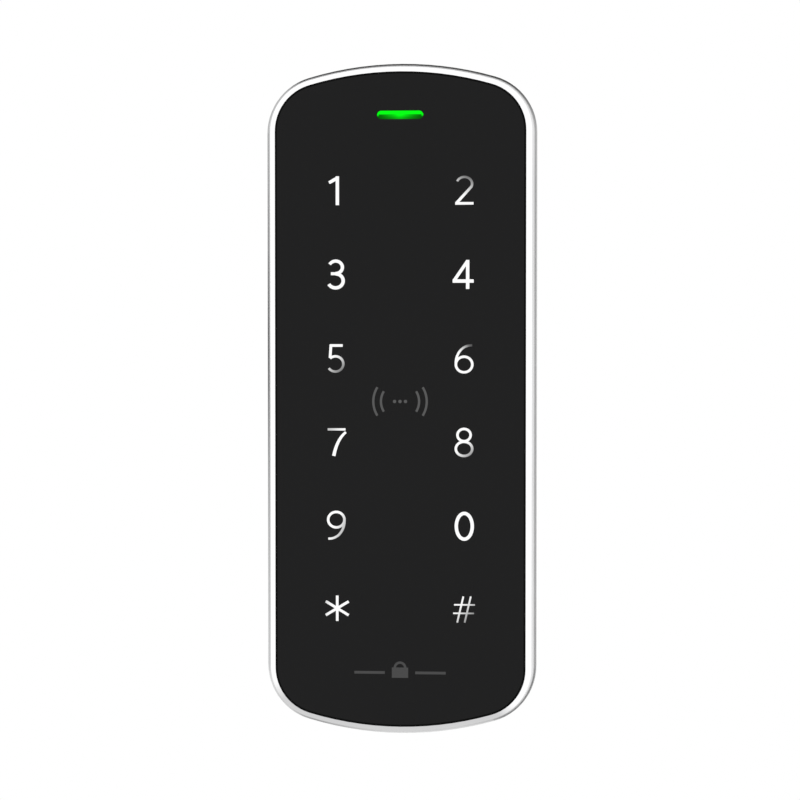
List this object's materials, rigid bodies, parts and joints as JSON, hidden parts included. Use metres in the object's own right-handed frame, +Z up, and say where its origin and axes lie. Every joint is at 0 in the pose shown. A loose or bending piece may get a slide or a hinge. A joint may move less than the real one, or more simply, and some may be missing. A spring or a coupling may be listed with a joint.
{
  "type": "keypad access reader",
  "caption": "Slim wall keypad and card reader: polished metal housing, flush black touch panel with lit keys, lamp, wall plate, tamper switch and lock screw.",
  "frame": {"origin": "centre of the pattern of four wall holes, on the wall face of the mounting plate", "axes": "+Z up along the reader's length, -Y out of the wall through the front panel, +X to the right as seen from the front"},
  "size_m": [0.05, 0.0155, 0.124],
  "materials": {
    "plate_steel": "zinc plated, satin",
    "screw_steel": "bright",
    "black_rubber": "matte",
    "housing_metal": "satin cast",
    "polished_bezel": "polished",
    "black_panel": "gloss",
    "white_legend": "lit from behind",
    "dim_legend": "printed",
    "green_lens": "clear, lit green",
    "black_tape": "matte",
    "milky_film": "matte",
    "white_plastic": "moulded",
    "green_board": "solder resist",
    "copper": "bare copper",
    "lamp_body": "gloss",
    "chip_black": "moulded",
    "ferrite": "sintered",
    "cream_plastic": "moulded",
    "bright_tin": "bright",
    "small_part_body": "ceramic",
    "gilt_pin": "plated",
    "brass": "machined",
    "label_film": "blank foil"
  },
  "bodies": {
    "wall_plate": {"mounting_plate": "plate_steel"},
    "reader": {"rear_housing": "housing_metal", "bezel_frame": "polished_bezel", "front_panel": "black_panel", "key_legends": "white_legend", "card_symbol": "dim_legend", "lock_symbol": "dim_legend", "status_lens": "green_lens", "panel_tape": "black_tape", "diffuser_sheet": "milky_film", "backlight_frame": "white_plastic", "touch_board": "green_board", "touch_pads": "copper", "backlight_lamps": "lamp_body", "touch_controller": "chip_black", "antenna_coil": "copper", "link_plug": "cream_plastic", "link_socket": "chip_black", "main_board": "green_board", "status_lamps": "lamp_body", "processor": "chip_black", "card_reader_chip": "chip_black", "memory_chip": "chip_black", "clock_crystal": "bright_tin", "power_inductor": "ferrite", "power_capacitors": "bright_tin", "small_parts": "small_part_body", "lock_relay": "cream_plastic", "sounder": "chip_black", "harness_socket": "cream_plastic", "harness_pins": "gilt_pin", "power_socket": "cream_plastic", "power_pins": "gilt_pin", "bay_gasket": "black_rubber", "housing_seal": "black_rubber", "security_insert": "brass", "rating_label": "label_film", "housing_screws": "screw_steel", "board_screws": "screw_steel", "tamper_switch": "chip_black", "tamper_spring": "bright_tin"},
    "plunger": {"tamper_plunger": "white_plastic"},
    "washer": {"screw_washer": "black_rubber"},
    "lock_screw": {"security_screw": "screw_steel"}
  },
  "joints": [
    {"name": "reader_lift", "type": "slide", "parent": "wall_plate", "child": "reader", "axis": [0, 0, 1], "range_m": [0, 0.0045]},
    {"name": "plunger_travel", "type": "slide", "parent": "reader", "child": "plunger", "axis": [0, 1, 0], "range_m": [0, 0.00112], "deforming": ["tamper_spring"]},
    {"name": "screw_travel", "type": "slide", "parent": "wall_plate", "child": "washer", "axis": [0, 0, -1], "range_m": [0, 0.005]},
    {"name": "screw_turn", "type": "hinge", "parent": "washer", "child": "lock_screw", "pos_m": [0, -0.0045, -0.0593], "axis": [0, 0, -1], "range_deg": [0, 3601]}
  ],
  "couplings": [
    {"joint": "plunger_travel", "follows": "reader_lift", "ratio": 0.25},
    {"joint": "screw_turn", "follows": "screw_travel", "rad_per_m": 12566}
  ]
}
